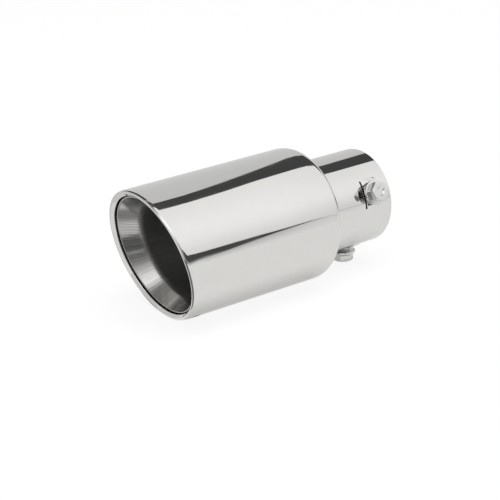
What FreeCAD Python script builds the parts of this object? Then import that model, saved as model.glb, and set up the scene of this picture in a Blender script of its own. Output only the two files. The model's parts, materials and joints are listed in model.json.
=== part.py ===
import FreeCAD, Part
import math
import os

# Exhaust tip, millimetres. +X runs along the tube axis from the mouth to the inlet end, +Z is up.
# The origin is the centre of the inlet end face.

# Tubes
sleeve_radius = 44.45        # outside of the polished barrel
sleeve_wall = 1.2
neck_radius = 31.75          # outside of the inlet neck
neck_wall = 1.2
liner_wall = 1.0
overall_length = 177.0       # inlet end to the middle of the slanted mouth
neck_length = 53.4           # inlet end to the rear face of the barrel
neck_insert = 22.0           # how far the neck reaches inside the barrel

# Barrel ends
shoulder_radius = 6.5        # rounded rear edge of the barrel
shoulder_steps = 6           # straight steps round the outside of the shoulder
inner_steps = 3              # straight steps round its inside
weld_leg = 2.4               # weld between the rear face and the neck
weld_edge = 0.3              # thickness of the weld's thin edge
slash_angle = 15.0           # slant of the mouth
slash_turn = -13.0           # long side of the mouth, turned from +Z towards +Y
lip_width = 4.1              # the rolled lip, measured across
lip_round = 1.5              # outer radius of the roll
lip_lean = 40.0              # how far the lip's face leans back from the plane of the mouth
roll_steps = 4               # straight steps round the roll

# Liner
liner_setback = 3.7          # from the front of the lip to the liner's edge
band_depth = 10.5            # length of the conical band that follows the slanted mouth
band_angle = 29.0            # how steeply the band draws in
bend_depth = 5.5             # length of the bend from the band to the inner tube
bend_steps = 3               # straight steps along the bend

# Clamp stations, one screw each
station_turns = (-66.0, -175.0)    # turned from +Z towards +Y
hex_turns = (15.0, 0.0)            # turn of each screw's head about its own axis
screw_from_end = 16.7
slit_from_end = 22.3
slit_width = 1.4
pad_from_end = 8.6           # rear edge of the raised pad
pad_half_width = 9.4
pad_rise = 0.3               # pad face above the tube's top line
pad_flank = 1.3              # how far each side flank leans in
rim_height = 1.3             # rim drawn up round the threaded hole
rim_wall = 1.3

# Screws and washers
screw_radius = 4.0
head_across_flats = 12.0
head_height = 5.4
head_chamfer = 1.0
hex_step = 60.0              # turn from one flat of the head to the next
dish_radius = 3.2
dish_depth = 0.7
washer_radius = 8.2
washer_height = 1.6
washer_stand = 3.0           # gap between the pad and the washer
tip_recess = 0.4             # screw tip outside the bore

# Clearances
lip_gap = 0.55               # the lip's inner edge to the outside of the liner
neck_hole_clearance = 0.1
liner_step = 0.3             # liner inside stands back from the neck bore
thread_clearance = 0.05
washer_clearance = 0.25

# Derived places
rear_x = -neck_length
mouth_x = -overall_length
neck_front_x = rear_x - neck_insert
neck_bore = neck_radius - neck_wall
sleeve_bore = sleeve_radius - sleeve_wall
lip_seat_x = mouth_x + lip_round
liner_mouth_radius = sleeve_radius - lip_width - lip_gap - liner_wall
slash_slope = math.tan(math.radians(slash_angle))
pad_face = neck_radius + pad_rise
reach = 4.0 * overall_length

axis_x = FreeCAD.Vector(1, 0, 0)
origin = FreeCAD.Vector(0, 0, 0)


def turned(turn):
    """Unit vector square to the axis, turned from +Z towards +Y."""
    angle = math.radians(turn)
    return FreeCAD.Vector(0, math.sin(angle), math.cos(angle))


long_side = turned(slash_turn)


def at(x, r):
    """Point of a section in the plane through the axis."""
    return FreeCAD.Vector(x, 0, r)


def quarter_round(corner, radius, steps):
    """Points of the section from the rear face round to the barrel, about the corner's centre."""
    angles = [math.pi / 2.0 * step / steps for step in range(steps + 1)]
    return [at(corner.x + radius * math.cos(angle), corner.z + radius * math.sin(angle)) for angle in angles]


def spun(points):
    """Solid of revolution about the tube axis, from the corners of its section."""
    face = Part.Face(Part.makePolygon(points + points[:1]))
    return face.revolve(origin, axis_x, 360.0)


def slanted(shape, share=1.0):
    """Slides every section along the axis so that flat rings take the slant of the mouth."""
    slope = slash_slope * share
    matrix = FreeCAD.Matrix(1, -slope * long_side.y, -slope * long_side.z, 0,
                            0, 1, 0, 0,
                            0, 0, 1, 0,
                            0, 0, 0, 1)
    return shape.transformGeometry(matrix)


def behind_slash(x):
    """Large block behind the slanted plane that crosses the axis at x."""
    block = Part.makeBox(reach, reach, reach, FreeCAD.Vector(0, -reach / 2.0, -reach / 2.0))
    hinge = long_side.cross(axis_x)
    block.rotate(origin, hinge, -slash_angle)
    block.translate(FreeCAD.Vector(x, 0, 0))
    return block


def mouth_ring(x, radius, share):
    """Ring round the axis that has a share of the mouth's slant."""
    ring = slanted(Part.makeCircle(radius, origin, axis_x), share)
    ring.translate(FreeCAD.Vector(x, 0, 0))
    return ring.Edges[0]


def ruled_ring(rings):
    """Closed ring of straight stretches through the given rings, back to the first."""
    faces = [Part.makeRuledSurface(first, second) for first, second in zip(rings, rings[1:] + rings[:1])]
    shell = Part.makeShell(faces)
    shell.sewShape()
    solid = Part.makeSolid(shell)
    if solid.Volume < 0:
        solid.reverse()
    return solid


# Outer sleeve: barrel, rounded shoulder, rear face and the weld round the neck in one spun shell
def sleeve_shell():
    hole = neck_radius + neck_hole_clearance
    front = mouth_x - sleeve_radius
    corner = at(rear_x - shoulder_radius, sleeve_radius - shoulder_radius)
    weld_x = rear_x + weld_leg
    weld_r = hole + weld_edge
    weld = [at(rear_x, weld_r + weld_leg), at(weld_x, weld_r), at(weld_x, hole), at(rear_x - sleeve_wall, hole)]
    inner_round = quarter_round(corner, shoulder_radius - sleeve_wall, inner_steps)
    open_end = [at(front, sleeve_bore), at(front, sleeve_radius)]
    outer_round = quarter_round(corner, shoulder_radius, shoulder_steps)
    return spun(weld + inner_round + open_end + outer_round[::-1]).common(behind_slash(lip_seat_x))


# Rolled lip: the sheet turned inwards round a small radius, then a face that leans back, along the slanted cut
def roll_rings(radius):
    """Rings from the barrel round the roll, and the last one at the end of the leaning face."""
    centre_r = sleeve_radius - lip_round
    lean = math.radians(lip_lean)
    face_length = (lip_width - lip_round - lip_round * math.sin(lean)) / math.cos(lean)
    places = []
    for step in range(roll_steps + 1):
        angle = (math.pi / 2.0 + lean) * step / roll_steps
        places.append((lip_seat_x - radius * math.sin(angle), centre_r + radius * math.cos(angle)))
    last_x, last_r = places[-1]
    places.append((last_x + face_length * math.sin(lean), last_r - face_length * math.cos(lean)))
    return [mouth_ring(x, r, 1.0) for x, r in places]


def rolled_lip():
    outside = roll_rings(lip_round)
    inside = roll_rings(lip_round - sleeve_wall)
    return ruled_ring(outside + inside[::-1])


def outer_sleeve():
    return sleeve_shell().fuse(rolled_lip())


# Inner liner: a conical band behind the lip that follows the slant, a bend, then a tube to the neck
def liner_stations():
    """Place, inside radius and share of the slant for each ring of the liner."""
    edge_x = mouth_x + liner_setback
    band_x = edge_x + band_depth
    slope = math.tan(math.radians(band_angle))
    band_radius = liner_mouth_radius - slope * band_depth
    stations = [(edge_x, liner_mouth_radius, 1.0)]
    for step in range(bend_steps + 1):
        share = step / bend_steps
        drop = slope * bend_depth * (share - share * share / 2.0)
        stations.append((band_x + bend_depth * share, band_radius - drop, 1.0))
    stations.append((neck_front_x, neck_bore + liner_step, 0.0))
    return stations


def inner_liner():
    stations = liner_stations()
    inside = [mouth_ring(x, radius, share) for x, radius, share in stations]
    outside = [mouth_ring(x, radius + liner_wall, share) for x, radius, share in stations]
    return ruled_ring(outside + inside[::-1])


# Neck tube with its clamp stations
def placed(shape, turn, x):
    """Moves a shape from the radial axis +Z at x = 0 to its station."""
    shape.rotate(origin, axis_x, -turn)
    shape.translate(FreeCAD.Vector(x, 0, 0))
    return shape


def pad_block(half_width, top, bottom, start, end):
    """Bar of trapezoid section along X, under the station's radial axis."""
    section = Part.makePolygon([
        FreeCAD.Vector(start, -half_width, bottom),
        FreeCAD.Vector(start, half_width, bottom),
        FreeCAD.Vector(start, half_width - pad_flank, top),
        FreeCAD.Vector(start, pad_flank - half_width, top),
        FreeCAD.Vector(start, -half_width, bottom),
    ])
    return Part.Face(section).extrude(FreeCAD.Vector(end - start, 0, 0))


def neck_tube():
    length = neck_length + neck_insert
    start = FreeCAD.Vector(neck_front_x, 0, 0)
    tube = Part.makeCylinder(neck_radius, length, start, axis_x)
    bore = Part.makeCylinder(neck_bore, length, start, axis_x)
    pad_bottom = neck_bore * math.cos(math.asin(pad_half_width / neck_bore))
    hole_radius = screw_radius + thread_clearance
    pocket_start = slit_width / 2.0 + neck_wall - slit_from_end
    pads = []
    pockets = []
    for turn in station_turns:
        pad = pad_block(pad_half_width, pad_face, pad_bottom, -slit_from_end, -pad_from_end)
        rim = Part.makeCylinder(hole_radius + rim_wall, pad_face + rim_height, origin, FreeCAD.Vector(0, 0, 1))
        rim.translate(FreeCAD.Vector(-screw_from_end, 0, 0))
        pads.append(placed(pad, turn, 0))
        pads.append(placed(rim, turn, 0))
        pocket = pad_block(pad_half_width - neck_wall, pad_face - neck_wall, pad_bottom - neck_wall,
                           pocket_start, -pad_from_end - neck_wall)
        slit = Part.makeBox(slit_width, 2.0 * pad_half_width, neck_radius,
                            FreeCAD.Vector(-slit_from_end - slit_width / 2.0, -pad_half_width, neck_radius / 2.0))
        hole = Part.makeCylinder(hole_radius, 2.0 * neck_radius, FreeCAD.Vector(-screw_from_end, 0, 0),
                                 FreeCAD.Vector(0, 0, 1))
        pockets += [placed(pocket, turn, 0), placed(slit, turn, 0), placed(hole, turn, 0)]
    return tube.multiFuse(pads).cut(bore.multiFuse(pockets))


# Clamp screws: hexagon head with rounded corners and a dished end, and a plain shank
def clamp_screw(turn, hex_turn):
    shank_start = neck_bore + tip_recess
    head_start = pad_face + washer_stand + washer_height
    head_end = head_start + head_height
    corner = head_across_flats / math.sqrt(3.0)
    corners = [hex_turn + hex_step * (step + 0.5) for step in range(7)]
    outline = [FreeCAD.Vector(corner * math.cos(math.radians(a)), corner * math.sin(math.radians(a)), head_start)
               for a in corners]
    prism = Part.Face(Part.makePolygon(outline)).extrude(FreeCAD.Vector(0, 0, head_height))
    rounding = head_chamfer / 2.0
    envelope = Part.Face(Part.makePolygon([
        FreeCAD.Vector(0, 0, head_start),
        FreeCAD.Vector(corner, 0, head_start),
        FreeCAD.Vector(corner, 0, head_end - rounding),
        FreeCAD.Vector(corner - head_chamfer, 0, head_end),
        FreeCAD.Vector(dish_radius, 0, head_end),
        FreeCAD.Vector(dish_radius - dish_depth, 0, head_end - dish_depth),
        FreeCAD.Vector(0, 0, head_end - dish_depth),
        FreeCAD.Vector(0, 0, head_start),
    ])).revolve(origin, FreeCAD.Vector(0, 0, 1), 360.0)
    shank = Part.makeCylinder(screw_radius, head_start - shank_start, FreeCAD.Vector(0, 0, shank_start))
    return placed(prism.common(envelope).fuse(shank), turn, -screw_from_end)


def washer(turn):
    start = pad_face + washer_stand
    disc = Part.makeCylinder(washer_radius, washer_height, FreeCAD.Vector(0, 0, start))
    hole = Part.makeCylinder(screw_radius + washer_clearance, washer_height, FreeCAD.Vector(0, 0, start))
    return placed(disc.cut(hole), turn, -screw_from_end)


screws = [clamp_screw(turn, hex_turn) for turn, hex_turn in zip(station_turns, hex_turns)]
washers = [washer(turn) for turn in station_turns]

nodes = {
    "outer_sleeve": outer_sleeve(),
    "inner_liner": inner_liner(),
    "neck_tube": neck_tube(),
    "clamp_screws": Part.makeCompound(screws),
    "screw_washers": Part.makeCompound(washers),
}

os.makedirs("parts", exist_ok=True)
for name, shape in nodes.items():
    shape.exportStep("parts/" + name + ".step")
    print(name, "solids", len(shape.Solids), "valid", shape.isValid(), "volume", round(shape.Volume, 1))
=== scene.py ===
import bpy
import json
import numpy as np
from mathutils import Matrix, Vector


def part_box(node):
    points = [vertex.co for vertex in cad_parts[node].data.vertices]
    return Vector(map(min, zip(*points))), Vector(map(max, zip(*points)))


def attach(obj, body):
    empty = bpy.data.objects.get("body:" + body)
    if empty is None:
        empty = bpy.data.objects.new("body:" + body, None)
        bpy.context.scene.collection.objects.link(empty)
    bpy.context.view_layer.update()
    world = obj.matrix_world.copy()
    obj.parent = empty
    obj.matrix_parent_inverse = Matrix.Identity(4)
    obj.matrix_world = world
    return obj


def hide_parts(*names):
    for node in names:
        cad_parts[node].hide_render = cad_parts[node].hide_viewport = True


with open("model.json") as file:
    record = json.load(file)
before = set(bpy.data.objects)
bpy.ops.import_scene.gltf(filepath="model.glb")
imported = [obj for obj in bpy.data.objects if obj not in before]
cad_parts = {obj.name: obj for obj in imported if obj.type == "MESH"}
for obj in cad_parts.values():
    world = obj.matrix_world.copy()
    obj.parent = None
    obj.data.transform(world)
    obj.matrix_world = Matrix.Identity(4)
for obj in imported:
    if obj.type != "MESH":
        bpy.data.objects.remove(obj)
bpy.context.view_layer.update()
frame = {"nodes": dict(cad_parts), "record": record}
print("frame loaded:", len(frame["nodes"]), "nodes")

mm = 0.001
fullTurn = 2.0 * np.pi
socket = frame["record"]["mounts"][0]["dims"]     # the neck's bore, in mm

# Sizes that several pieces share, in mm. Turns go from +Z towards +Y.
tip = {
    "rearX": -53.4,            # rear face of the barrel
    "mouthX": -177.0,          # middle of the slanted mouth
    "neckFrontX": -socket["length_mm"],      # end of the neck inside the barrel
    "barrelRadius": round(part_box("outer_sleeve")[1].y / mm, 2),
    "neckRadius": 31.75,
    "neckBore": socket["r_mm"],
    "slope": np.tan(np.radians(15.0)),       # slant of the mouth
    "longSide": np.radians(-13.0),           # turn of its long side
    "stationTurns": (-66.0, -175.0),         # the two clamp screws
    "screwX": -16.7,           # axis of both screws
    "padFace": 32.05,          # height of the flat that each screw goes through
    "washerStand": 3.0,        # from that flat to the washer
    "washerHeight": 1.6,
}

# What is never marked as the inside of a sheet
insideLimits = {
    "skin": 0.2,               # faces this close to the outside, in mm
    "end": 1.0,                # faces this close to the inlet end, in mm
    "outward": 0.3,            # faces whose normal points away from the axis by this cosine or more
}


# Small helpers

def smoothStep(low, high, value):
    # 0 at low, 1 at high, and a cubic ease between them
    share = np.clip((value - low) / (high - low), 0.0, 1.0)
    return share * share * (3.0 - 2.0 * share)


def hexColour(code):
    # sRGB hex to the linear colour that a shader takes
    parts = np.array([int(code[i:i + 2], 16) for i in (1, 3, 5)]) / 255.0
    linear = np.where(parts <= 0.04045, parts / 12.92, ((parts + 0.055) / 1.055) ** 2.4)
    return (*[float(v) for v in linear], 1.0)


def addNode(tree, kind, links=None, **settings):
    # One node: settings are its own, and links gives an input a value or another node's output
    node = tree.nodes.new(kind)
    for name, value in settings.items():
        setattr(node, name, value)
    for name, value in (links or {}).items():
        if isinstance(value, bpy.types.NodeSocket):
            tree.links.new(value, node.inputs[name])
        else:
            node.inputs[name].default_value = value
    return node


def newMaterial(name):
    # Material with an empty node tree
    material = bpy.data.materials.new(name)
    material.use_nodes = True
    material.node_tree.nodes.clear()
    return material, material.node_tree


def gridQuads(rows, columns, closeRows=False, closeColumns=False):
    # Point numbers of a grid's cells, as cells[row, column, corner]. A closed side has one more
    # line of cells, which joins its last points to its first.
    rowCells = rows if closeRows else rows - 1
    columnCells = columns if closeColumns else columns - 1
    i, j = np.meshgrid(np.arange(rowCells), np.arange(columnCells), indexing="ij")
    nextI, nextJ = (i + 1) % rows, (j + 1) % columns
    return np.stack([i * columns + j, i * columns + nextJ, nextI * columns + nextJ, nextI * columns + j], -1)


def gridUv(run, arc, rows, columns):
    # UV pairs of a closed grid's cells: u is the arc round the axis, v the run along the profile
    i, j = np.meshgrid(np.arange(rows), np.arange(columns), indexing="ij")
    pairs = [np.stack([(j + b) * arc, run[i + a]], -1) for a, b in ((0, 0), (0, 1), (1, 1), (1, 0))]
    return np.stack(pairs, -2)


def smoothObject(name, vertices, faces, sharpDegrees, corners=None):
    # Object at the origin from vertices in mm, with a UV pair for each face corner where given
    mesh = bpy.data.meshes.new(name)
    mesh.from_pydata((vertices * mm).tolist(), [], faces)
    if corners is not None:
        mesh.uv_layers.new(name="UVMap").data.foreach_set("uv", corners.astype(np.float32).ravel())
    mesh.validate()
    mesh.shade_smooth()
    mesh.set_sharp_from_angle(angle=np.radians(sharpDegrees))
    thing = bpy.data.objects.new(name, mesh)
    bpy.context.scene.collection.objects.link(thing)
    return thing


def shellObject(name, vertices, quads, corners, sharpDegrees):
    # Closed shell: its faces are turned outwards by the sign of the volume that they enclose
    a, b, c, d = (vertices[quads[:, k]] for k in range(4))
    volume = np.einsum("ij,ij->i", a, np.cross(b, c)) + np.einsum("ij,ij->i", a, np.cross(c, d))
    if volume.sum() < 0:
        quads, corners = quads[:, ::-1], corners.reshape(-1, 4, 2)[:, ::-1].reshape(-1, 2)
    return smoothObject(name, vertices, quads.tolist(), sharpDegrees, corners)


def spunPoints(profile, columns):
    # A profile of (x, radius, share) carried round the tube axis: y is radius times the sine of
    # the turn, z radius times its cosine, and x is less by share of the mouth's slant there.
    turn = np.arange(columns) / columns * fullTurn
    x, r, share = (profile[:, k:k + 1] for k in range(3))
    lean = share * tip["slope"] * r * np.cos(turn - tip["longSide"])
    return np.stack([x - lean, r * np.sin(turn) + 0.0 * x, r * np.cos(turn) + 0.0 * x], -1)


def spunObject(name, profile, columns):
    # Closed ring of revolution from a profile that is a closed loop
    points = spunPoints(profile, columns)
    rows = len(profile)
    closed = np.vstack([profile, profile[:1]])
    run = np.concatenate([[0.0], np.cumsum(np.hypot(*np.diff(closed[:, :2], axis=0).T))])
    arc = fullTurn * tip["barrelRadius"] / columns
    quads = gridQuads(rows, columns, True, True).reshape(-1, 4)
    corners = gridUv(run, arc, rows, columns).reshape(-1, 2)
    return shellObject(name, points.reshape(-1, 3), quads, corners, 35.0)


def straight(start, end, steps):
    # Evenly spaced profile points from start up to, but not including, end
    share = np.linspace(0.0, 1.0, steps, endpoint=False)[:, None]
    return np.array(start, float) + (np.array(end, float) - np.array(start, float)) * share


def bow(centre, radii, fromDegrees, toDegrees, steps, share=0.0):
    # Elliptical arc of profile points, without its last point
    angle = np.radians(np.linspace(fromDegrees, toDegrees, steps, endpoint=False))
    return np.stack([centre[0] + radii[0] * np.cos(angle), centre[1] + radii[1] * np.sin(angle),
                     np.full(steps, share)], -1)


def polar(centre, radius, degrees):
    # Profile point at a distance and direction from a centre, with the mouth's full slant
    angle = np.radians(degrees)
    return (centre[0] + radius * np.cos(angle), centre[1] + radius * np.sin(angle), 1.0)


def dress(piece, material, slot, *nodes):
    # A finished piece gets its material and its body, and the node it stands for is hidden. The slot is not
    # used.
    piece.data.materials.clear()
    piece.data.materials.append(material)
    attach(piece, "root")
    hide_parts(*nodes)


# Materials

def buffedStainless(name, look):
    # 304 stainless sheet, buffed to a mirror: sharp reflections with a faint wave, and hairlines
    # along the buffing
    material, tree = newMaterial(name)
    place = addNode(tree, "ShaderNodeTexCoord")
    lines = addNode(tree, "ShaderNodeMapping",
                    {"Vector": place.outputs["UV"], "Scale": look["hairlineScale"]})
    hairs = addNode(tree, "ShaderNodeTexNoise", {"Vector": lines.outputs[0], "Scale": 1.0, "Detail": 3.0})
    wave = addNode(tree, "ShaderNodeTexNoise",
                   {"Vector": place.outputs["Object"], "Scale": 1000.0 / look["waveMm"], "Detail": 1.0})
    smear = addNode(tree, "ShaderNodeTexNoise",
                    {"Vector": place.outputs["Object"], "Scale": 1000.0 / look["smearMm"], "Detail": 4.0})
    rough = addNode(tree, "ShaderNodeMapRange",
                    {"Value": smear.outputs[0], "From Min": 0.35, "From Max": 0.7,
                     "To Min": look["roughLow"], "To Max": look["roughHigh"]})
    tone = addNode(tree, "ShaderNodeMix",
                   {0: smear.outputs[0], 6: hexColour(look["dark"]), 7: hexColour(look["light"])},
                   data_type="RGBA")
    waves = addNode(tree, "ShaderNodeBump",
                    {"Height": wave.outputs[0], "Strength": 1.0, "Distance": look["waveHeight"] * mm})
    hairBump = addNode(tree, "ShaderNodeBump",
                       {"Height": hairs.outputs[0], "Strength": 1.0, "Distance": look["hairHeight"] * mm,
                        "Normal": waves.outputs[0]})
    inside = addNode(tree, "ShaderNodeAttribute", attribute_name="inside")
    allTone = addNode(tree, "ShaderNodeMix",
                      {0: inside.outputs["Fac"], 6: tone.outputs[2], 7: hexColour(look["millTone"])},
                      data_type="RGBA")
    allRough = addNode(tree, "ShaderNodeMix",
                       {0: inside.outputs["Fac"], 2: rough.outputs[0], 3: look["millRough"]},
                       data_type="FLOAT")
    # Painted shade: faces marked by the cut attribute, the slit walls and the inlet end, take the dark cut
    # tone
    cut = addNode(tree, "ShaderNodeAttribute", attribute_name="cut")
    wholeTone = addNode(tree, "ShaderNodeMix",
                        {0: cut.outputs["Fac"], 6: allTone.outputs[2], 7: hexColour(look["cutShadeTone"])},
                        data_type="RGBA")
    steel = addNode(tree, "ShaderNodeBsdfPrincipled",
                    {"Base Color": wholeTone.outputs[2], "Metallic": 1.0, "Roughness": allRough.outputs[0],
                     "Normal": hairBump.outputs[0]})
    addNode(tree, "ShaderNodeOutputMaterial", {"Surface": steel.outputs[0]})
    return material


def markInside(thing, behind, sheetRadius):
    # Face attribute for the unpolished side of a sheet: faces turned to the axis, behind a place
    # along it and inside the sheet's outer radius, both in mm. The place leans with the mouth.
    faces = thing.data.polygons
    centre = np.empty(len(faces) * 3)
    normal = np.empty(len(faces) * 3)
    faces.foreach_get("center", centre)
    faces.foreach_get("normal", normal)
    centre, normal = centre.reshape(-1, 3) / mm, normal.reshape(-1, 3)
    radius = np.hypot(centre[:, 1], centre[:, 2])
    outward = (centre[:, 1] * normal[:, 1] + centre[:, 2] * normal[:, 2]) / radius
    turn = np.arctan2(centre[:, 1], centre[:, 2])
    place = centre[:, 0] + tip["slope"] * radius * np.cos(turn - tip["longSide"])
    inside = (outward < insideLimits["outward"]) & (radius < sheetRadius - insideLimits["skin"])
    inside = inside & (place > behind) & (centre[:, 0] < -insideLimits["end"])
    attribute = thing.data.attributes.new("inside", "FLOAT", "FACE")
    attribute.data.foreach_set("value", inside.astype(np.float32))


polishedLook = {
    "dark": "#D1D0CE",
    "light": "#D6D5D3",
    "millTone": "#C9C8C6",     # dull mill finish on the inside, which no wheel reaches
    "millRough": 0.45,
    "cutShadeTone": "#363533",      # painted shade: dark tone on the cut walls of the slits and on the inlet end
    "roughLow": 0.035,
    "roughHigh": 0.075,
    "waveMm": 26.0,            # slow wave of thin rolled sheet
    "waveHeight": 0.012,
    "smearMm": 9.0,
    "hairlineScale": (0.02, 4.0, 1.0),   # per mm: long round the tube, 0.25 mm apart along it
    "hairHeight": 0.0006,
}
polishedSteel = buffedStainless("mirrorBuffedStainless", polishedLook)


def linerStainless(name, look):
    # Stainless liner: buffed as far in as the wheel reaches, and a rougher mill finish deeper in, with a
    # darker tone there that is painted shade. Drawn streaks run along the tube.
    material, tree = newMaterial(name)
    place = addNode(tree, "ShaderNodeTexCoord")
    depth = addNode(tree, "ShaderNodeAttribute", attribute_name="depth")
    lines = addNode(tree, "ShaderNodeMapping", {"Vector": place.outputs["UV"], "Scale": look["streakScale"]})
    drawn = addNode(tree, "ShaderNodeTexNoise", {"Vector": lines.outputs[0], "Scale": 1.0, "Detail": 4.0})
    streaks = addNode(tree, "ShaderNodeMapRange",
                      {"Value": drawn.outputs[0], "From Min": 0.35, "From Max": 0.65})
    inner = addNode(tree, "ShaderNodeMapRange",
                    {"Value": depth.outputs["Fac"], "From Min": look["buffedTo"] - look["fade"],
                     "From Max": look["buffedTo"] + look["fade"]}, interpolation_type="SMOOTHSTEP")
    bright = addNode(tree, "ShaderNodeMix",
                     {0: streaks.outputs[0], 6: hexColour(look["bandDark"]), 7: hexColour(look["bandLight"])},
                     data_type="RGBA")
    # Painted shade: deeper in the tube, the liner's tone is darker
    millShade = addNode(tree, "ShaderNodeMix",
                   {0: streaks.outputs[0], 6: hexColour(look["millShadeDark"]), 7: hexColour(look["millShadeLight"])},
                   data_type="RGBA")
    tone = addNode(tree, "ShaderNodeMix", {0: inner.outputs[0], 6: bright.outputs[2], 7: millShade.outputs[2]},
                   data_type="RGBA")
    rough = addNode(tree, "ShaderNodeMapRange",
                    {"Value": inner.outputs[0], "To Min": look["bandRough"], "To Max": look["dullRough"]})
    bump = addNode(tree, "ShaderNodeBump",
                   {"Height": streaks.outputs[0], "Strength": 1.0, "Distance": look["streakHeight"] * mm})
    steel = addNode(tree, "ShaderNodeBsdfPrincipled",
                    {"Base Color": tone.outputs[2], "Metallic": 1.0, "Roughness": rough.outputs[0],
                     "Normal": bump.outputs[0]})
    addNode(tree, "ShaderNodeOutputMaterial", {"Surface": steel.outputs[0]})
    return material


linerLook = {
    "bandDark": "#A09F9D",
    "bandLight": "#BAB9B7",
    # tones deeper in: mill finish, made darker as painted shade
    "millShadeDark": "#858482",
    "millShadeLight": "#93928F",
    "bandRough": 0.14,
    "dullRough": 0.5,
    "buffedTo": 12.0,          # mm behind the liner's edge, where the rougher finish and the painted shade begin
    "fade": 3.0,
    "streakScale": (0.8, 0.03, 1.0),     # per mm: streaks 1.2 mm apart round the tube and 30 mm long
    "streakHeight": 0.01,
}
linerSteel = linerStainless("drawnStainlessLiner", linerLook)


def platedSteel(name, look):
    # Bright zinc plate on cold-formed steel: slightly milky reflections with a fine mottle
    material, tree = newMaterial(name)
    place = addNode(tree, "ShaderNodeTexCoord")
    mottle = addNode(tree, "ShaderNodeTexNoise",
                     {"Vector": place.outputs["Object"], "Scale": 1000.0 / look["mottleMm"], "Detail": 5.0})
    grain = addNode(tree, "ShaderNodeTexNoise",
                    {"Vector": place.outputs["Object"], "Scale": 1000.0 / look["grainMm"], "Detail": 2.0})
    tone = addNode(tree, "ShaderNodeMix",
                   {0: mottle.outputs[0], 6: hexColour(look["dark"]), 7: hexColour(look["light"])},
                   data_type="RGBA")
    rough = addNode(tree, "ShaderNodeMapRange",
                    {"Value": mottle.outputs[0], "From Min": 0.3, "From Max": 0.7,
                     "To Min": look["roughLow"], "To Max": look["roughHigh"]})
    bump = addNode(tree, "ShaderNodeBump",
                   {"Height": grain.outputs[0], "Strength": 1.0, "Distance": look["grainHeight"] * mm})
    steel = addNode(tree, "ShaderNodeBsdfPrincipled",
                    {"Base Color": tone.outputs[2], "Metallic": 1.0, "Roughness": rough.outputs[0],
                     "Normal": bump.outputs[0]})
    addNode(tree, "ShaderNodeOutputMaterial", {"Surface": steel.outputs[0]})
    return material


platedLook = {
    "dark": "#BEBEBC",
    "light": "#E0E0DE",
    "roughLow": 0.15,
    "roughHigh": 0.29,
    "mottleMm": 2.2,
    "grainMm": 0.5,            # drawn coarser than real plating, so that it shows
    "grainHeight": 0.012,
}
zincSteel = platedSteel("brightZincPlatedSteel", platedLook)
print("materials made")


# Barrel

barrel = {
    "columns": 320,
    "wall": 1.2,
    "shoulder": 6.5,
    "lipWidth": 4.1,
    "lipRound": 1.3,           # outer radius of the roll
    "lipLean": 40.0,           # how far the lip's face leans back from the plane of the mouth
    "easeLength": 2.2,         # the sheet starts to turn in this far behind the roll
    "easeSink": 0.3,
    "easeSteps": 14,
    "easeGap": 0.1,            # clear step between the ease and the straight inside
    "holeRadius": 31.85,
    "weldLeg": 2.4,
    "weldEdge": 0.3,
    "millFrom": 3.2,           # the inside is unpolished from this far behind the mouth's plane
}


def barrelProfile(b):
    # Closed loop: hollow weld, rear face, round shoulder, straight side that eases in at the
    # mouth, small roll, leaning face of the lip, then back along the inside of the sheet
    rear, outer = tip["rearX"], tip["barrelRadius"]
    inner = outer - b["wall"]
    corner = (rear - b["shoulder"], outer - b["shoulder"])
    roll, half, facing = b["lipRound"], b["wall"] / 2.0, 180.0 + b["lipLean"]
    steep = np.arctan(2.0 * b["easeSink"] / b["easeLength"])
    startTurn = 90.0 + np.degrees(steep)
    seat = tip["mouthX"] + roll
    middle = outer - b["easeSink"] - roll * np.cos(steep)
    easeEnd = seat - roll * np.sin(steep)
    easeStart = easeEnd + b["easeLength"]
    lean = np.radians(b["lipLean"])
    endRadius = outer - b["lipWidth"] + half
    along = (middle - (roll - half) * np.sin(lean) - endRadius) / np.cos(lean)
    sheetEnd = (seat - (roll - half) * np.cos(lean) + along * np.sin(lean), endRadius)
    weldEnd, weldTop = rear + b["weldLeg"], b["holeRadius"] + b["weldEdge"]
    ease = np.linspace(0.0, 1.0, b["easeSteps"], endpoint=False)
    easing = np.stack([easeEnd + b["easeLength"] * (1.0 - ease), outer - b["easeSink"] * ease ** 2,
                       np.ones(b["easeSteps"])], -1)
    easedIn = easing[::-1] - np.array([0.0, b["wall"], 0.0])
    hollow = b["shoulder"] - b["wall"]
    return np.vstack([
        straight((rear - b["wall"], b["holeRadius"], 0), (weldEnd, b["holeRadius"], 0), 5),
        straight((weldEnd, b["holeRadius"], 0), (weldEnd, weldTop, 0), 2),
        bow((weldEnd, weldTop + b["weldLeg"]), (b["weldLeg"], b["weldLeg"]), 270, 180, 12),
        straight((rear, weldTop + b["weldLeg"], 0), (rear, corner[1], 0), 4),
        bow(corner, (b["shoulder"], b["shoulder"]), 0, 90, 26),
        straight((corner[0], outer, 0), (easeStart, outer, 1), 26),
        easing,
        bow((seat, middle), (roll, roll), startTurn, facing, 26, 1.0),
        straight(polar((seat, middle), roll, facing), polar(sheetEnd, half, facing), 10),
        bow(sheetEnd, (half, half), facing, facing + 180.0, 16, 1.0),
        straight(polar(sheetEnd, -half, facing), polar((seat, middle), roll - b["wall"], facing), 6),
        bow((seat, middle), (roll - b["wall"], roll - b["wall"]), facing, startTurn, 8, 1.0),
        easedIn,
        straight((easeStart + b["easeGap"], inner, 1), (corner[0], inner, 0), 24),
        bow(corner, (hollow, hollow), 90, 0, 14),
        straight((rear - b["wall"], corner[1], 0), (rear - b["wall"], b["holeRadius"], 0), 4),
    ])


barrelSkin = spunObject("barrelSkin", barrelProfile(barrel), barrel["columns"])
markInside(barrelSkin, tip["mouthX"] + barrel["millFrom"], tip["barrelRadius"])
dress(barrelSkin, polishedSteel, "polished_stainless", "outer_sleeve")
print("barrel made")


# Liner

liner = {
    "columns": 288,
    "wall": 1.0,
    "edgeX": -173.45,
    "mouthRadius": 38.9,
    "bandDepth": 10.5,
    "bandAngle": 29.0,
    "bendDepth": 5.5,
    "tubeRadius": 30.85,       # where it meets the neck
}


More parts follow.
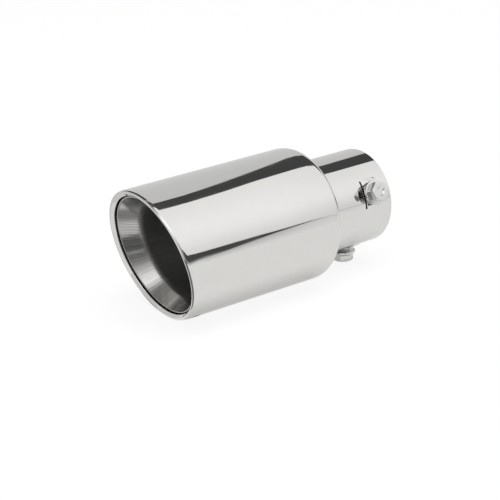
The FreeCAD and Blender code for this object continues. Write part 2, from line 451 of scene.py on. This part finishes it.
def linerLine(n):
    # Inside line of the liner as columns x, radius, share: a straight band, a bend whose slope
    # eases evenly to nothing, and a tube that tapers to the neck while its rings turn square to
    # the axis
    slope = np.tan(np.radians(n["bandAngle"]))
    band = np.linspace(0.0, n["bandDepth"], 30, endpoint=False)
    bend = np.linspace(0.0, 1.0, 20, endpoint=False)
    tube = np.linspace(0.0, 1.0, 16)
    bendDrop = slope * n["bendDepth"] * (bend - bend ** 2 / 2.0)
    bandEnd = n["mouthRadius"] - slope * n["bandDepth"]
    tubeX = n["edgeX"] + n["bandDepth"] + n["bendDepth"]
    tubeStart = bandEnd - slope * n["bendDepth"] / 2.0
    x = np.concatenate([n["edgeX"] + band, n["edgeX"] + n["bandDepth"] + n["bendDepth"] * bend,
                        tubeX + (tip["neckFrontX"] - tubeX) * tube])
    r = np.concatenate([n["mouthRadius"] - slope * band, bandEnd - bendDrop,
                        tubeStart + (n["tubeRadius"] - tubeStart) * tube])
    share = np.concatenate([np.ones(len(band) + len(bend)), 1.0 - tube])
    return np.stack([x, r, share], -1)


def makeLiner(n):
    # The inside line, the same line a wall further out, and a half-round front edge between them
    inside = linerLine(n)
    outside = inside[::-1] + np.array([0.0, n["wall"], 0.0])
    half = n["wall"] / 2.0
    edge = bow((n["edgeX"], n["mouthRadius"] + half), (half * 0.8, half), 90, 270, 10, 1.0)[1:]
    profile = np.vstack([inside, outside, edge])
    thing = spunObject("linerShell", profile, n["columns"])
    depth = np.repeat(profile[:, 0] - n["edgeX"], n["columns"]).astype(np.float32)
    thing.data.attributes.new("depth", "FLOAT", "POINT").data.foreach_set("value", depth)
    return thing


linerShell = makeLiner(liner)
dress(linerShell, linerSteel, "brushed_stainless", "inner_liner")
print("liner made")


# Neck

neck = {
    "wall": 1.2,
    "slitFrontX": -23.0,
    "slitRearX": -21.6,
    "slitLean": 0.9,           # the cut leans forward by this much through the sheet
    "leanFrontX": -25.0,       # the lean fades out from the slit to these two places,
    "leanRearX": -20.8,
    "leanFade": 3.0,           # and over this length past the slit's two ends
    "leanSlack": 0.01,         # it is full from this far inside the slit's edges
    "padRearX": -8.6,
    "padHalf": 9.4,
    "padTop": 7.0,             # the flat ends this far from the middle, and its soft flank at padFoot
    "padFoot": 11.0,
    "padRise": 4.0,            # length over which the sheet rises from the slit to the flat
    "padFall": (2.9, 2.1),     # it falls from this far before padRearX to this far past it
    "padFlank": 1.3,           # flank and foot of the pocket under the pad
    "padBottom": 29.07,
    "pocketBend": 0.2,         # half the length of the pocket's front edge
    "rearBend": 0.25,          # and of its rear edge
    "innerBlend": (5.0, 11.0),     # across the pad, the inside goes over to the round bore here
    "softness": 0.10,          # rounding where pocket and bore meet
    "rimWall": 1.3,
    "rimHeight": 1.3,
    "rimSlope": (0.25, 0.15),
    "holeRadius": 4.05,
    "warpReach": 8.0,          # how far the ring lines round the hole reach
    "edgeRound": 0.28,
    "edgeSteps": 6,
    "gridHalf": 13.0,          # half the width of the fine grid at each station
    "gapSteps": (66, 178),     # grid lines in the short and the long way between the stations
    "cutDepth": 0.3,           # walls of a cut take the slit's painted shade up to this far behind it
    "rimShadeShare": 0.65,           # how much of the slit walls' painted shade the inlet end takes
}


def softMax(first, second, softness):
    # The larger of two heights, rounded where they cross
    return (first + second + np.sqrt((first - second) ** 2 + softness ** 2)) / 2.0


def padHeight(across, half, top, bottom, flank):
    # Height of a flat pad with leaning flanks over the distance across it
    lean = (top - bottom) / flank
    return np.minimum(top, top - (np.abs(across) - (half - flank)) * lean)


def spaced(*stops):
    # Grid lines through the stops; each stop is (place, number of steps from the one before)
    parts = [np.linspace(a[0], b[0], b[1], endpoint=False) for a, b in zip(stops, stops[1:])]
    return np.concatenate(parts + [[stops[-1][0]]])


def warped(a, t, n):
    # Moves grid lines round the screw hole: squares near it become circles, and fade back to
    # squares further out
    hole = n["holeRadius"]
    reach = np.where(a < 0, tip["screwX"] - n["slitRearX"], n["warpReach"])
    ring = np.maximum((np.abs(a) - hole) / (reach - hole), (np.abs(t) - hole) / (n["warpReach"] - hole))
    weight = 1.0 - smoothStep(0.0, 1.0, ring)
    square = np.maximum(np.abs(a), np.abs(t))
    radial = np.maximum(np.hypot(a, t), 1e-9)
    scale = 1.0 + weight * (square / radial - 1.0)
    return a * scale, t * scale


def neckGrid(n):
    # One grid of x lines and turn lines for the outside and the inside: fine at the two stations,
    # where lines are placed by their distance across the pad, and even in the gaps between them
    hole, mid, rear, gridHalf = n["holeRadius"], tip["screwX"], n["padRearX"], n["gridHalf"]
    x = spaced((tip["neckFrontX"], 0), (n["leanFrontX"], 16), (n["slitFrontX"], 6), (n["slitRearX"], 1),
               (mid - hole, 6), (mid + hole, 34), (rear - 0.8, 13), (rear + 0.8, 16), (-n["edgeRound"], 14))
    patch = spaced((-gridHalf, 0), (-n["padHalf"], 9), (-hole, 22), (hole, 34), (n["padHalf"], 22),
                   (gridHalf, 9))
    patchTurn = np.degrees(np.arcsin(patch / tip["neckRadius"]))
    first, second = tip["stationTurns"]
    edge = patchTurn[-1]
    short, long = n["gapSteps"]
    shortGap = np.linspace(second + edge, first - edge, short + 2)[1:-1]
    longGap = np.linspace(first + edge, second + 360.0 - edge, long + 2)[1:-1]
    turn = np.concatenate([second + patchTurn, shortGap, first + patchTurn, longGap])
    across = np.concatenate([patch, np.zeros(short), patch, np.zeros(long)])
    near = np.repeat([True, False, True, False], [len(patch), short, len(patch), long])
    station = np.repeat([second, first], [len(patch) + short, len(patch) + long])
    xs = np.repeat(x[:, None], len(turn), axis=1)
    t = across[None, :] + 0.0 * xs
    a, t = warped(xs - mid, t, n)
    return a + mid, t, np.radians(turn), np.radians(station), near


def neckSurfaces(n):
    # Outside: the tube's height over each station's flat, raised to the pad where it is pressed,
    # and to the rim round the hole. Inside: the bore's height, raised to the pocket under the pad.
    # Both are turned to their station, and in the gaps the surfaces are plain tubes.
    xs, t, turn, station, near = neckGrid(n)
    outer, bore, rear, bend = tip["neckRadius"], tip["neckBore"], n["padRearX"], n["rearBend"]
    tube = np.sqrt(outer ** 2 - t ** 2)
    pressed = smoothStep(n["slitRearX"], n["slitRearX"] + n["padRise"], xs)
    pressed = pressed * (1.0 - smoothStep(rear - n["padFall"][0], rear + n["padFall"][1], xs))
    pressed = pressed * (1.0 - smoothStep(n["padTop"], n["padFoot"], np.abs(t)))
    high = tube + (tip["padFace"] - tube) * pressed

    fromScrew = np.hypot(xs - tip["screwX"], t)
    rimTop = tip["padFace"] + n["rimHeight"]
    rimEdge = n["holeRadius"] + n["rimWall"]
    rim = 1.0 - smoothStep(rimEdge - n["rimSlope"][0], rimEdge + n["rimSlope"][1], fromScrew)
    rim = rim * np.where(xs > (n["slitFrontX"] + n["slitRearX"]) / 2.0, 1.0, 0.0)
    rim = rim * (1.0 - smoothStep(rear - bend, rear + bend, xs))
    high = high + (rimTop - high) * rim

    pocketStart = n["slitRearX"] + n["wall"] / 2.0
    pocketEnd = rear - n["wall"]
    window = smoothStep(pocketStart - n["pocketBend"], pocketStart + n["pocketBend"], xs)
    window = window * (1.0 - smoothStep(pocketEnd - bend, pocketEnd + bend, xs))
    tInner = t * (1.0 - (1.0 - bore / outer) * smoothStep(*n["innerBlend"], np.abs(t)))
    boreHigh = np.sqrt(bore ** 2 - tInner ** 2)
    pocket = padHeight(tInner, n["padHalf"] - n["wall"], tip["padFace"] - n["wall"],
                       n["padBottom"] - n["wall"], n["padFlank"])
    low = boreHigh + (softMax(boreHigh, pocket, n["softness"]) - boreHigh) * window

    def place(x, distance, offset, plain):
        y = np.where(near, distance * np.sin(station) + offset * np.cos(station), plain * np.sin(turn))
        z = np.where(near, distance * np.cos(station) - offset * np.sin(station), plain * np.cos(turn))
        return np.stack([x, y, z], -1)

    lean = smoothStep(n["leanFrontX"], n["slitFrontX"] + n["leanSlack"], xs)
    lean = lean * (1.0 - smoothStep(n["slitRearX"] - n["leanSlack"], n["leanRearX"], xs))
    lean = lean * (1.0 - smoothStep(n["padHalf"], n["padHalf"] + n["leanFade"], np.abs(t))) * near
    return place(xs, high, t, outer), place(xs - n["slitLean"] * lean, low, tInner, bore), xs, t, near


def neckCuts(n, xs, t, near):
    # Cells of the grid that a slit or a hole takes out, going by their centres. The hole counts a
    # touch smaller, so that no cell outside its ring is lost to rounding.
    midX = (xs[:-1] + xs[1:]) / 2.0
    centreX = (midX + np.roll(midX, -1, 1)) / 2.0
    midT = (t[:-1] + t[1:]) / 2.0
    centreT = (midT + np.roll(midT, -1, 1)) / 2.0
    inHole = np.hypot(centreX - tip["screwX"], centreT) < n["holeRadius"] * 0.999
    inSlit = (centreX > n["slitFrontX"]) & (centreX < n["slitRearX"]) & (np.abs(centreT) < n["padHalf"])
    return (inHole | inSlit) & (near & np.roll(near, -1))[None, :]


def cutWalls(gone, columns, allRows):
    # Quads through the sheet along each cut: they join outer and inner points wherever a cell
    # that is gone meets one that stays, and face into the cut
    def upper(r, c):
        return r * columns + c % columns

    def lower(r, c):
        return (allRows - 1 - r) * columns + c % columns

    padded = np.pad(gone, ((1, 1), (0, 0)))
    r, c = np.nonzero(padded[1:] != padded[:-1])
    flip = padded[1:][r, c]
    alongRows = np.stack([upper(r, c), upper(r, c + 1), lower(r, c + 1), lower(r, c)], -1)
    alongRows = np.where(flip[:, None], alongRows, alongRows[:, ::-1])
    r, c = np.nonzero(gone != np.roll(gone, 1, 1))
    flip = gone[r, c]
    alongColumns = np.stack([upper(r, c), lower(r, c), lower(r + 1, c), upper(r + 1, c)], -1)
    alongColumns = np.where(flip[:, None], alongColumns, alongColumns[:, ::-1])
    return np.concatenate([alongRows, alongColumns])


def makeNeck(n):
    # Outer surface, rounded rear end, inner surface and front end as one closed grid. The cells
    # inside slits and holes are left out of both surfaces, and walls join the two along each cut.
    top, bottom, xs, t, near = neckSurfaces(n)
    rows, columns = xs.shape
    outer, bore, small = tip["neckRadius"], tip["neckBore"], n["edgeRound"]
    upward = np.radians(np.linspace(90.0, 0.0, n["edgeSteps"])[1:])
    downward = np.radians(np.linspace(0.0, -90.0, n["edgeSteps"])[:-1])
    rounding = [(-small + small * np.cos(angle), outer - small + small * np.sin(angle)) for angle in upward]
    rounding += [(-small + small * np.cos(angle), bore + small + small * np.sin(angle)) for angle in downward]
    plainTurn = np.arctan2(top[-1, :, 1], top[-1, :, 2])
    cap = [np.stack([np.full(columns, x), r * np.sin(plainTurn), r * np.cos(plainTurn)], -1)
           for x, r in rounding]
    points = np.concatenate([top, np.array(cap), bottom[::-1]])
    allRows = len(points)

    gone = neckCuts(n, xs, t, near)
    keep = np.ones((allRows, columns), bool)
    keep[:rows - 1] = ~gone
    keep[allRows - rows:allRows - 1] = ~gone[::-1]

    arc = fullTurn * outer / columns
    steps = np.linalg.norm(np.diff(points[:, 0], axis=0), axis=1)
    run = np.concatenate([[0.0], np.cumsum(steps), [0.0]])
    quads = gridQuads(allRows, columns, True, True)[keep]
    corners = gridUv(run, arc, allRows, columns)[keep]
    walls = cutWalls(gone, columns, allRows)
    allQuads = np.concatenate([quads, walls])
    allCorners = np.concatenate([corners.reshape(-1, 2), np.zeros((len(walls) * 4, 2))])
    vertices = points.reshape(-1, 3)
    used = np.unique(allQuads)
    renumber = np.zeros(len(vertices), int)
    renumber[used] = np.arange(len(used))
    thing = shellObject("neckShell", vertices[used], renumber[allQuads], allCorners, 30.0)

    markInside(thing, tip["mouthX"] * 2.0, outer)
    # Painted shade mask: full on the slit walls, and a share of it on the faces of the inlet end
    cut = np.zeros(len(allQuads), np.float32)
    cut[len(quads):] = vertices[walls, 0].mean(axis=1) < n["slitRearX"] + n["cutDepth"]
    cut[:len(quads)] = n["rimShadeShare"] * (vertices[quads, 0].mean(axis=1) > -small * 0.9)
    thing.data.attributes.new("cut", "FLOAT", "FACE").data.foreach_set("value", cut)
    return thing


neckShell = makeNeck(neck)
dress(neckShell, polishedSteel, "polished_stainless", "neck_tube")
print("neck made")


# Clamp screws and washers

def stationPoints(points, turn):
    # Points of (x, across, height) over the station's radial axis, put at the station
    a = np.radians(turn)
    x, across, height = points[..., 0], points[..., 1], points[..., 2]
    return np.stack([x + tip["screwX"], height * np.sin(a) + across * np.cos(a),
                     height * np.cos(a) - across * np.sin(a)], -1)


screw = {
    "hexTurns": (15.0, 0.0),   # turn of each head about its own axis
    "acrossFlats": 12.0,
    "cornerShare": 0.5655,     # the six corners are blunted at this share of the flats
    "headHeight": 5.4,
    "chamferRadius": 5.93,
    "dishRadius": 3.2,
    "dishDepth": 0.7,
    "shankRadius": 4.0,
    "pitch": 1.25,             # coarse thread of an 8 mm screw
    "threadDepth": 0.62,
    "turnSteps": 12,           # rows in each turn of the thread
    "tipHeight": 30.95,        # tip stands outside the bore
    "tipTaper": 0.7,           # length and depth of the tip's chamfer
    "tipDrop": 0.75,
    "columns": 96,
}


def screwGrid(s, hexTurn):
    # Rows of (radius, height) from the middle of the dished end over the chamfer and the six
    # flats, then down the shank to its tip. The thread's groove follows height minus turn.
    start = tip["padFace"] + tip["washerStand"] + tip["washerHeight"]
    end = start + s["headHeight"]
    phi = np.arange(s["columns"]) / s["columns"] * fullTurn
    local = (np.degrees(phi) - hexTurn + 30.0) % 60.0 - 30.0
    hexR = np.minimum(s["acrossFlats"] / 2.0 / np.cos(np.radians(local)), s["acrossFlats"] * s["cornerShare"])
    dish, floor, chamfer = s["dishRadius"], end - s["dishDepth"], s["chamferRadius"]
    drop = (hexR - chamfer) * 0.5
    rows = [(0.0, floor), (1.2, floor), (2.3, floor), (2.5, floor + 0.03), (dish - 0.08, end - 0.08),
            (dish, end), (dish + 0.12, end), (4.5, end), (chamfer - 0.15, end), (chamfer, end - 0.02),
            (chamfer + drop, end - drop * 0.5 - 0.02), (hexR - 0.04, end - drop - 0.04),
            (hexR, end - drop - 0.14), (hexR, (start + end) / 2.0), (hexR, start + 0.25),
            (hexR - 0.08, start + 0.06), (hexR - 0.25, start), (5.2, start),
            (s["shankRadius"] + 0.02, start)]
    for d in np.arange(0.04, start - s["tipHeight"] - 0.02, s["pitch"] / s["turnSteps"]):
        wave = np.abs(((d / s["pitch"] - phi / fullTurn) % 1.0) * 2.0 - 1.0)
        groove = s["threadDepth"] * smoothStep(0.12, 0.88, 1.0 - wave) * smoothStep(0.1, 0.9, d)
        taper = s["tipDrop"] * smoothStep(s["tipTaper"], 0.0, start - s["tipHeight"] - d)
        rows.append((np.minimum(s["shankRadius"] - groove, s["shankRadius"] - taper), start - d))
    rows.append((s["shankRadius"] - 0.8, s["tipHeight"]))
    rows.append((0.0, s["tipHeight"]))
    return np.stack([np.stack([r * np.cos(phi), r * np.sin(phi), h + 0.0 * phi], -1) for r, h in rows])


def polesMerged(points):
    # Grid closed round its columns, whose first and last rows are each a single point: its
    # vertices, and its quads and two fans of triangles, all facing outwards
    rows, columns = points.shape[:2]
    body = gridQuads(rows - 2, columns, closeColumns=True).reshape(-1, 4) + 1
    c = np.arange(columns)
    n = (c + 1) % columns
    lastRing = (rows - 3) * columns + 1
    lastPole = (rows - 2) * columns + 1
    topFan = np.stack([0 * c, 1 + n, 1 + c], -1)
    endFan = np.stack([0 * c + lastPole, lastRing + c, lastRing + n], -1)
    vertices = np.concatenate([points[0, :1], points[1:-1].reshape(-1, 3), points[-1, :1]])
    return vertices, [body[:, ::-1], topFan[:, ::-1], endFan[:, ::-1]]


def makeScrews(s):
    # One screw at each station, in one mesh
    vertices, faces, base = [], [], 0
    for turn, hexTurn in zip(tip["stationTurns"], s["hexTurns"]):
        points, groups = polesMerged(screwGrid(s, hexTurn))
        vertices.append(stationPoints(points, turn))
        for group in groups:
            faces += (group + base).tolist()
        base += len(points)
    return smoothObject("clampScrews", np.concatenate(vertices), faces, 32.0)


washer = {
    "radius": 8.2,
    "hole": 4.25,
    "bevel": 0.18,
    "columns": 120,
}


def makeWashers(w):
    # Flat ring with a small bevel on each edge: a closed loop of (radius, height) carried round
    # the screw's axis, at both stations
    low = tip["padFace"] + tip["washerStand"]
    high = low + tip["washerHeight"]
    hole, radius, bevel, columns = w["hole"], w["radius"], w["bevel"], w["columns"]
    loop = np.array([(hole, low + bevel), (hole + bevel, low), (radius - bevel * 1.5, low),
                     (radius - bevel * 0.4, low + bevel * 0.5), (radius, low + bevel * 1.5),
                     (radius, high - bevel * 1.5), (radius - bevel * 0.4, high - bevel * 0.5),
                     (radius - bevel * 1.5, high), (hole + bevel, high), (hole, high - bevel)])
    phi = np.arange(columns) / columns * fullTurn
    r, h = loop[:, :1], loop[:, 1:]
    ring = np.stack([r * np.cos(phi), r * np.sin(phi), h + 0.0 * phi], -1).reshape(-1, 3)
    quads = gridQuads(len(loop), columns, True, True).reshape(-1, 4)
    vertices = np.concatenate([stationPoints(ring, turn) for turn in tip["stationTurns"]])
    faces = np.concatenate([quads, quads + len(ring)]).tolist()
    return smoothObject("screwWashers", vertices, faces, 30.0)


clampScrews = makeScrews(screw)
dress(clampScrews, zincSteel, "plated_steel", "clamp_screws")
screwWashers = makeWashers(washer)
dress(screwWashers, zincSteel, "plated_steel", "screw_washers")
print("screws and washers made")


# Studio

studio = {
    "floorZ": -tip["barrelRadius"] * mm,
    "floorSize": 9.0,
    "floorColour": "#E9E9E8",
    "fibreMm": 2.5,            # paper fibre, drawn coarser than real so that it shows
    "cameraGlow": 0.86,        # share of the floor's look that is glow and takes no shadow
    "glossyGlow": 0.45,
    "glowStrength": 1.03,
    "skyGlossy": 0.95,
    "skyDiffuse": 0.5,
    "boxRadius": 1.6,          # distance of the softbox from the tube axis, in metres,
    "farRadius": 1.5,          # of the dark cards behind,
    "nearRadius": 0.45,        # and of the cards close by
    "sheetLift": 0.0002,       # height of the sheets over the floor, in metres
    "lampPlace": (-0.3, -0.5, 2.0),
    "lampTarget": (-0.1, 0.0, 0.0),
    "lampSize": 1.6,
    "lampWatts": 43.0,
}


def emissionCard(name, points, strength):
    # Sheet of light or shade that only reflections see: points[row, column] in metres, with a
    # glow for each point
    rows, columns = points.shape[:2]
    mesh = bpy.data.meshes.new(name)
    mesh.from_pydata(points.reshape(-1, 3).tolist(), [], gridQuads(rows, columns).reshape(-1, 4).tolist())
    glow = np.broadcast_to(np.asarray(strength, float), (rows, columns)).ravel().astype(np.float32)
    mesh.attributes.new("glow", "FLOAT", "POINT").data.foreach_set("value", glow)
    card = bpy.data.objects.new(name, mesh)
    bpy.context.scene.collection.objects.link(card)
    material, tree = newMaterial(name + "Glow")
    amount = addNode(tree, "ShaderNodeAttribute", attribute_name="glow")
    light = addNode(tree, "ShaderNodeEmission", {"Strength": amount.outputs["Fac"]})
    addNode(tree, "ShaderNodeOutputMaterial", {"Surface": light.outputs[0]})
    mesh.materials.append(material)
    card.visible_camera = card.visible_diffuse = card.visible_shadow = card.visible_transmission = False


def cardPoints(radius, places, low, high, rows):
    # Sheet on a cylinder round the tube axis: at each x place it spans the rolls low to high, in
    # degrees from +Z towards -Y
    share = np.linspace(0.0, 1.0, rows)[:, None]
    places, low, high = (np.asarray(v, float) for v in (places, low, high))
    roll = np.radians(low + (high - low) * share) + 0.0 * places
    x = places + 0.0 * roll
    return np.stack([x, -radius * np.sin(roll), radius * np.cos(roll)], -1), np.degrees(roll)


def floorPoints(xEnds, yEnds, columns=3, rows=3, layer=1):
    # Flat sheet a little over the floor, in a layer of its own where it covers another sheet
    x, y = np.meshgrid(np.linspace(*xEnds, columns), np.linspace(*yEnds, rows), indexing="ij")
    return np.stack([x, y, np.full_like(x, studio["floorZ"] + layer * studio["sheetLift"])], -1)


# Softbox in front and overhead: brightest in its middle, a little dimmer where the neck sees it
points, roll = cardPoints(studio["boxRadius"], np.linspace(-4.0, 6.0, 101), -14.0, 87.0, 60)
softboxGlow = 1.13 + 0.105 * np.exp(-((roll - 40.0) / 30.0) ** 2) - 0.19 * smoothStep(50.0, 90.0, roll)
softboxGlow = softboxGlow * (1.0 - 0.045 * smoothStep(1.13, 1.2, points[..., 0]))
emissionCard("frontSoftbox", points, softboxGlow)

# Dark card over the barrel and behind it: x places, and the rolls of its far and near edge there
topFlag = {
    "x": [-1.0, 0.5, 0.86, 0.92, 1.0, 1.09, 1.17, 1.25, 3.0],
    "far": [-24.0, -24.0, -22.4, -25.8, -33.3, -44.8, -41.5, -43.8, -44.0],
    "near": [-4.0, -8.5, -5.8, -7.0, -11.0, -13.0, -10.2, -10.4, -10.4],
}
points, roll = cardPoints(studio["farRadius"], topFlag["x"], topFlag["far"], topFlag["near"], 12)
across = np.linspace(0.0, 1.0, 12)[:, None]
topGlow = 0.075 + 0.10 * across ** 2 * (1.0 - smoothStep(0.4, 0.9, points[..., 0]))
emissionCard("topFlag", points, topGlow)

# Dark card behind, which only the rounded upper edge of the lip reflects, as a fine line
points, roll = cardPoints(studio["farRadius"], np.linspace(-0.2, 0.5, 5), -82.0, -26.0, 8)
emissionCard("lipFlag", points, 0.06)

# Low dark card in front, tall at the mouth's end and tapering to a faint line
lowFlag = {
    "x": [-0.12, 0.0, 0.10, 0.115, 0.145, 0.18, 0.2, 0.24, 0.265, 0.3, 0.9],
    "top": [70.0, 75.0, 78.5, 79.4, 79.6, 80.1, 81.0, 81.5, 82.8, 86.6, 87.0],
    "bottom": [96.0, 96.0, 94.0, 89.8, 88.0, 85.1, 83.8, 82.5, 83.1, 87.5, 88.0],
}
points, roll = cardPoints(studio["nearRadius"], lowFlag["x"], lowFlag["top"], lowFlag["bottom"], 16)
across = np.linspace(0.0, 1.0, 16)[:, None]
lowGlow = 0.08 + 0.5 * smoothStep(0.24, 0.28, points[..., 0])
lowGlow = lowGlow + 0.75 * smoothStep(0.6, 1.0, across) * (1.0 - smoothStep(0.10, 0.13, points[..., 0]))
emissionCard("lowFlag", points, lowGlow)

# Soft shade from the low card down to the floor, from its fourth place on
points, roll = cardPoints(studio["nearRadius"], lowFlag["x"][3:], lowFlag["bottom"][3:], 95.5, 12)
fadeStart = np.interp(points[..., 0], [0.2, 0.24, 0.27], [0.6, 0.8, 0.9])
across = np.linspace(0.0, 1.0, 12)[:, None]
emissionCard("lowFade", points, fadeStart + (0.97 - fadeStart) * across ** 0.8)

# Dim surroundings ahead of the mouth, which only the liner and the lip see: dark low down and
# brightest overhead in front, with a glow for each roll
mouthDimmer = {
    "rolls": [-70, -45, -30, -10, 0, 8, 14, 22, 30, 40, 56, 70, 85, 95],
    "glows": [0.25, 0.30, 0.28, 0.30, 0.42, 0.75, 1.30, 1.80, 1.85, 1.55, 1.00, 0.55, 0.28, 0.20],
}
points, roll = cardPoints(studio["nearRadius"], np.linspace(-0.7, -0.12, 30), -70.0, 95.0, 90)
dimmerGlow = np.interp(roll, mouthDimmer["rolls"], mouthDimmer["glows"])
farLeft = smoothStep(-0.33, -0.42, points[..., 0]) * smoothStep(-10.0, -25.0, roll)
emissionCard("mouthDimmer", points, dimmerGlow + (0.85 - dimmerGlow) * farLeft)

# Dark sheet on the floor ahead of the mouth
emissionCard("floorFlag", floorPoints((-0.32, -0.178), (-0.6, -0.018)), 0.18)

# Bright patch on the floor under the mouth, which the liner and the lip's underside reflect. Its
# part near the wall of the mouth is darker.
points = floorPoints((-0.24, -0.15), (-0.018, 0.06), 31, 28)
x, y = points[..., 0], points[..., 1]
nearWall = smoothStep(0.008, 0.020, y) * smoothStep(0.040, 0.032, y) * smoothStep(-0.203, -0.194, x)
emissionCard("floorPatch", points, 0.95 * smoothStep(-0.15, -0.165, x) * (1.0 - 0.6 * nearWall))

# Greyer floor behind, which the upper edges of barrel and neck reflect
emissionCard("rearFloor", floorPoints((-0.5, 1.5), (0.062, 2.0)), 0.78)

# Darker still just behind the neck: the fine dark outline of its rim and of the barrel's shoulder
emissionCard("rearShade", floorPoints((-0.01, 0.22), (0.055, 0.3), layer=2), 0.35)


def makeFloor(s):
    # Pale paper floor: lit and shadowed by the lamp, with a glow that lifts it to white in camera
    # and reflections
    half = s["floorSize"] / 2.0
    corners = [(x * half, y * half, s["floorZ"]) for x, y in ((-1, -1), (1, -1), (1, 1), (-1, 1))]
    mesh = bpy.data.meshes.new("floor")
    mesh.from_pydata(corners, [], [(0, 1, 2, 3)])
    floor = bpy.data.objects.new("floor", mesh)
    bpy.context.scene.collection.objects.link(floor)
    material, tree = newMaterial("palePaper")
    rays = addNode(tree, "ShaderNodeLightPath")
    place = addNode(tree, "ShaderNodeTexCoord")
    fibre = addNode(tree, "ShaderNodeTexNoise",
                    {"Vector": place.outputs["Object"], "Scale": 1000.0 / s["fibreMm"], "Detail": 2.0})
    lift = addNode(tree, "ShaderNodeBump", {"Height": fibre.outputs[0], "Strength": 0.02, "Distance": 0.0002})
    paper = addNode(tree, "ShaderNodeBsdfDiffuse",
                    {"Color": hexColour(s["floorColour"]), "Normal": lift.outputs[0]})
    shown = addNode(tree, "ShaderNodeMix",
                    {0: rays.outputs["Is Camera Ray"], 2: s["glossyGlow"], 3: s["cameraGlow"]},
                    data_type="FLOAT")
    glow = addNode(tree, "ShaderNodeEmission", {"Strength": s["glowStrength"]})
    total = addNode(tree, "ShaderNodeMixShader",
                    {0: shown.outputs[0], 1: paper.outputs[0], 2: glow.outputs[0]})
    addNode(tree, "ShaderNodeOutputMaterial", {"Surface": total.outputs[0]})
    mesh.materials.append(material)


def makeWorld(s):
    # White to the camera, pale grey in reflections, and a soft fill on the floor
    world = bpy.data.worlds.new("studioRoom")
    bpy.context.scene.world = world
    world.use_nodes = True
    tree = world.node_tree
    tree.nodes.clear()
    rays = addNode(tree, "ShaderNodeLightPath")
    glossy = addNode(tree, "ShaderNodeMix",
                     {0: rays.outputs["Is Glossy Ray"], 2: s["skyDiffuse"], 3: s["skyGlossy"]},
                     data_type="FLOAT")
    seen = addNode(tree, "ShaderNodeMix", {0: rays.outputs["Is Camera Ray"], 2: glossy.outputs[0], 3: 1.0},
                   data_type="FLOAT")
    back = addNode(tree, "ShaderNodeBackground", {"Strength": seen.outputs[0]})
    addNode(tree, "ShaderNodeOutputWorld", {"Surface": back.outputs[0]})


def softLamp(name, place, target, size, watts):
    # Square area lamp aimed at a point; reflections see the softbox card in its stead
    lamp = bpy.data.lights.new(name, "AREA")
    lamp.shape = "SQUARE"
    lamp.size, lamp.energy = size, watts
    thing = bpy.data.objects.new(name, lamp)
    thing.location = place
    thing.rotation_euler = (Vector(target) - Vector(place)).to_track_quat("-Z", "Y").to_euler()
    thing.visible_glossy = False
    bpy.context.scene.collection.objects.link(thing)


makeFloor(studio)
makeWorld(studio)
softLamp("overheadLamp", studio["lampPlace"], studio["lampTarget"], studio["lampSize"],
         studio["lampWatts"])
print("studio made")


# Camera, in metres, with the axes of its picture

camera = {
    "place": (-0.8303, -0.8861, 0.4415),
    "right": (0.77005, -0.63799, 0.0),
    "up": (0.23575, 0.28456, 0.92922),
    "forward": (0.59283, 0.71555, -0.36953),
    "lensMm": 136.8,
    "sensorMm": 36.0,
}
lens = bpy.data.cameras.new("shot")
lens.lens, lens.sensor_width = camera["lensMm"], camera["sensorMm"]
lens.clip_start, lens.clip_end = 0.01, 50.0
shot = bpy.data.objects.new("shot", lens)
axes = Matrix([camera["right"], camera["up"], [-v for v in camera["forward"]]]).transposed()
shot.matrix_world = Matrix.Translation(camera["place"]) @ axes.to_4x4()
bpy.context.scene.collection.objects.link(shot)
bpy.context.scene.camera = shot
bpy.context.scene.view_settings.view_transform = "Standard"
print("camera set")
